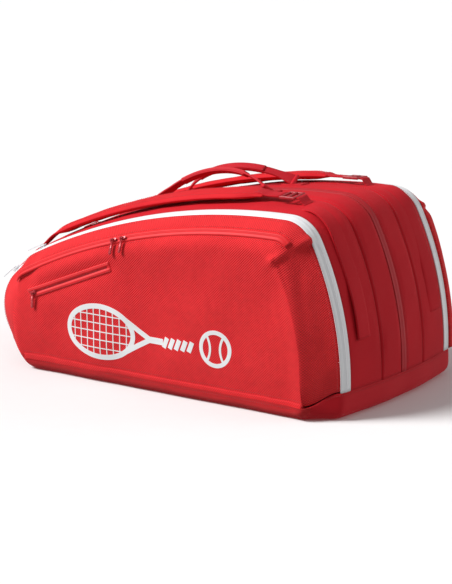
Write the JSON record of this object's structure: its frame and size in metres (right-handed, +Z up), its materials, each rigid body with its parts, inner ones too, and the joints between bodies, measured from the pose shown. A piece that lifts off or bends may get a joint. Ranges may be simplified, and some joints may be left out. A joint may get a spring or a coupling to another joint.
{
  "type": "racket tournament bag",
  "caption": "Long soft racket bag with a rounded narrow end, side compartments closed by white zips, carry handles, shoulder straps and slanted pocket.",
  "frame": {"origin": "centre of the bounding box of the bag, on the ground it stands on", "axes": "+X along the bag from the narrow end to the wide end, +Y across it from the front panel to the rear panel, +Z up"},
  "size_m": [0.736, 0.4274, 0.3565],
  "materials": {
    "panel_fabric": "fine ripstop weave with a light sheen",
    "gusset_fabric": "smooth plain weave",
    "boot_fabric": "coated plain weave",
    "strap_fabric": "padded plain weave",
    "webbing": "ribbed webbing",
    "lining_fabric": "plain lining",
    "board": "stiff board",
    "white_zip": "coated white tape",
    "red_zip": "coated red tape",
    "white_slider": "satin white",
    "red_slider": "satin red",
    "buckle_plastic": "moulded"
  },
  "bodies": {
    "bag_body": {"base_boot": "boot_fabric", "base_board": "board", "front_gusset": "gusset_fabric", "rear_gusset": "gusset_fabric", "middle_gusset_front": "gusset_fabric", "middle_gusset_rear": "gusset_fabric", "centre_zip_front_tape": "red_zip", "centre_zip_rear_tape": "red_zip", "front_divider": "lining_fabric", "rear_divider": "lining_fabric", "front_inner_tape": "white_zip", "rear_inner_tape": "white_zip", "front_pleat_flap": "gusset_fabric", "rear_pleat_flap": "gusset_fabric", "front_strap_anchors": "webbing", "rear_strap_anchors": "webbing", "front_handle_tabs": "webbing", "rear_handle_tabs": "webbing"},
    "front_cover": {"front_panel": "panel_fabric", "front_lining": "lining_fabric", "front_outer_tape": "white_zip", "front_pocket_zip": "red_zip", "front_pocket_pouch": "lining_fabric", "small_pocket_zip": "red_zip", "small_pocket_pouch": "lining_fabric"},
    "rear_cover": {"rear_panel": "panel_fabric", "rear_lining": "lining_fabric", "rear_outer_tape": "white_zip", "rear_pocket_zip": "red_zip", "rear_pocket_pouch": "lining_fabric"},
    "front_top_slider": {"front_top_slider": "white_slider"},
    "front_top_pull": {"front_top_pull": "white_slider"},
    "front_nose_slider": {"front_nose_slider": "white_slider"},
    "front_nose_pull": {"front_nose_pull": "white_slider"},
    "rear_top_slider": {"rear_top_slider": "white_slider"},
    "rear_top_pull": {"rear_top_pull": "white_slider"},
    "rear_nose_slider": {"rear_nose_slider": "white_slider"},
    "rear_nose_pull": {"rear_nose_pull": "white_slider"},
    "centre_top_slider": {"centre_top_slider": "red_slider"},
    "centre_top_pull": {"centre_top_pull": "red_slider"},
    "centre_nose_slider": {"centre_nose_slider": "red_slider"},
    "centre_nose_pull": {"centre_nose_pull": "red_slider"},
    "front_pocket_slider_left": {"front_pocket_slider_left": "red_slider"},
    "front_pocket_pull_left": {"front_pocket_pull_left": "red_slider"},
    "front_pocket_slider_right": {"front_pocket_slider_right": "red_slider"},
    "front_pocket_pull_right": {"front_pocket_pull_right": "red_slider"},
    "small_pocket_slider": {"small_pocket_slider": "red_slider"},
    "small_pocket_pull": {"small_pocket_pull": "red_slider"},
    "rear_pocket_slider": {"rear_pocket_slider": "red_slider"},
    "rear_pocket_pull": {"rear_pocket_pull": "red_slider"},
    "front_handle": {"front_handle": "webbing"},
    "front_strap": {"front_strap_pad": "strap_fabric", "front_strap_webbing": "webbing"},
    "front_buckle": {"front_buckle": "buckle_plastic"},
    "rear_handle": {"rear_handle": "webbing"},
    "rear_strap": {"rear_strap_pad": "strap_fabric", "rear_strap_webbing": "webbing"},
    "rear_buckle": {"rear_buckle": "buckle_plastic"}
  },
  "joints": [
    {"name": "front_cover_fold", "type": "hinge", "parent": "bag_body", "child": "front_cover", "pos_m": [0, -0.205, 0.02325], "axis": [1, 0, 0], "range_deg": [0, 30]},
    {"name": "rear_cover_fold", "type": "hinge", "parent": "bag_body", "child": "rear_cover", "pos_m": [0, 0.205, 0.02325], "axis": [-1, 0, 0], "range_deg": [0, 30]},
    {"name": "front_top_slider_run", "type": "hinge", "parent": "bag_body", "child": "front_top_slider", "pos_m": [0.23994, -0.16095, -0.81097], "axis": [0, 1, 0], "range_deg": [0, 25.4]},
    {"name": "front_top_pull_swing", "type": "hinge", "parent": "front_top_slider", "child": "front_top_pull", "pos_m": [-0.24935, -0.16095, 0.20794], "axis": [-0.0642, 0.9889, 0.1337], "range_deg": [0, 140]},
    {"name": "front_nose_slider_run", "type": "hinge", "parent": "bag_body", "child": "front_nose_slider", "pos_m": [-0.252, -0.16258, 0.0966], "axis": [0, -1, 0], "range_deg": [0, 58]},
    {"name": "front_nose_pull_swing", "type": "hinge", "parent": "front_nose_slider", "child": "front_nose_pull", "pos_m": [-0.30719, -0.16258, 0.16237], "axis": [-0.2587, 0.9155, 0.3083], "range_deg": [0, 140]},
    {"name": "rear_top_slider_run", "type": "hinge", "parent": "bag_body", "child": "rear_top_slider", "pos_m": [0.23994, 0.16095, -0.81097], "axis": [0, 1, 0], "range_deg": [0, 25.4]},
    {"name": "rear_top_pull_swing", "type": "hinge", "parent": "rear_top_slider", "child": "rear_top_pull", "pos_m": [-0.24935, 0.16095, 0.20794], "axis": [0.0642, 0.9889, -0.1337], "range_deg": [0, 140]},
    {"name": "rear_nose_slider_run", "type": "hinge", "parent": "bag_body", "child": "rear_nose_slider", "pos_m": [-0.252, 0.16258, 0.0966], "axis": [0, -1, 0], "range_deg": [0, 58]},
    {"name": "rear_nose_pull_swing", "type": "hinge", "parent": "rear_nose_slider", "child": "rear_nose_pull", "pos_m": [-0.30719, 0.16258, 0.16237], "axis": [0.2587, 0.9155, -0.3083], "range_deg": [0, 140]},
    {"name": "centre_top_slider_run", "type": "hinge", "parent": "bag_body", "child": "centre_top_slider", "pos_m": [0.23994, 0, -0.81097], "axis": [0, 1, 0], "range_deg": [0, 25.4]},
    {"name": "centre_top_pull_swing", "type": "hinge", "parent": "centre_top_slider", "child": "centre_top_pull", "pos_m": [-0.25457, 0, 0.21882], "axis": [0, 1, 0], "range_deg": [0, 140]},
    {"name": "centre_nose_slider_run", "type": "hinge", "parent": "bag_body", "child": "centre_nose_slider", "pos_m": [-0.276, 0, 0.0966], "axis": [0, -1, 0], "range_deg": [0, 58]},
    {"name": "centre_nose_pull_swing", "type": "hinge", "parent": "centre_nose_slider", "child": "centre_nose_pull", "pos_m": [-0.33925, 0, 0.17198], "axis": [0, 1, 0], "range_deg": [0, 140]},
    {"name": "front_pocket_slider_left_run", "type": "hinge", "parent": "front_cover", "child": "front_pocket_slider_left", "pos_m": [0.23994, -0.20416, -0.81097], "axis": [0, -1, 0], "range_deg": [0, 11.8]},
    {"name": "front_pocket_pull_left_swing", "type": "hinge", "parent": "front_pocket_slider_left", "child": "front_pocket_pull_left", "pos_m": [-0.06679, -0.20416, 0.24721], "axis": [-1, 0, 0], "range_deg": [0, 80]},
    {"name": "front_pocket_slider_right_run", "type": "hinge", "parent": "front_cover", "child": "front_pocket_slider_right", "pos_m": [0.23994, -0.20416, -0.81097], "axis": [0, 1, 0], "range_deg": [0, 13]},
    {"name": "front_pocket_pull_right_swing", "type": "hinge", "parent": "front_pocket_slider_right", "child": "front_pocket_pull_right", "pos_m": [-0.04769, -0.20416, 0.25256], "axis": [-1, 0, 0], "range_deg": [0, 80]},
    {"name": "small_pocket_slider_run", "type": "slide", "parent": "front_cover", "child": "small_pocket_slider", "axis": [0.9272, 0, 0.3746], "range_m": [0, 0.155]},
    {"name": "small_pocket_pull_swing", "type": "hinge", "parent": "small_pocket_slider", "child": "small_pocket_pull", "pos_m": [-0.23175, -0.2114, 0.13595], "axis": [-1, 0, 0], "range_deg": [0, 80]},
    {"name": "rear_pocket_slider_run", "type": "hinge", "parent": "rear_cover", "child": "rear_pocket_slider", "pos_m": [0.23994, 0.20416, -0.81097], "axis": [0, 1, 0], "range_deg": [-11.8, 14]},
    {"name": "rear_pocket_pull_swing", "type": "hinge", "parent": "rear_pocket_slider", "child": "rear_pocket_pull", "pos_m": [-0.06679, 0.20416, 0.24721], "axis": [1, 0, 0], "range_deg": [0, 80]},
    {"name": "front_handle_swing", "type": "hinge", "parent": "bag_body", "child": "front_handle", "pos_m": [0.01921, -0.04131, 0.30518], "axis": [0.981, 0, 0.194], "range_deg": [0, 42]},
    {"name": "front_strap_sway", "type": "hinge", "parent": "bag_body", "child": "front_strap", "pos_m": [-0.0388, -0.09606, 0.26146], "axis": [0.9661, 0, 0.2582], "range_deg": [-7, 10]},
    {"name": "front_buckle_tilt", "type": "hinge", "parent": "front_strap", "child": "front_buckle", "pos_m": [0.19707, -0.09606, 0.33192], "axis": [0, -1, 0], "range_deg": [0, 22]},
    {"name": "rear_handle_swing", "type": "hinge", "parent": "bag_body", "child": "rear_handle", "pos_m": [0.01921, 0.04131, 0.30518], "axis": [-0.981, 0, -0.194], "range_deg": [0, 42]},
    {"name": "rear_strap_sway", "type": "hinge", "parent": "bag_body", "child": "rear_strap", "pos_m": [-0.0388, 0.09606, 0.26146], "axis": [-0.9661, 0, -0.2582], "range_deg": [-7, 10]},
    {"name": "rear_buckle_tilt", "type": "hinge", "parent": "rear_strap", "child": "rear_buckle", "pos_m": [0.19707, 0.09606, 0.33192], "axis": [0, -1, 0], "range_deg": [0, 22]}
  ]
}
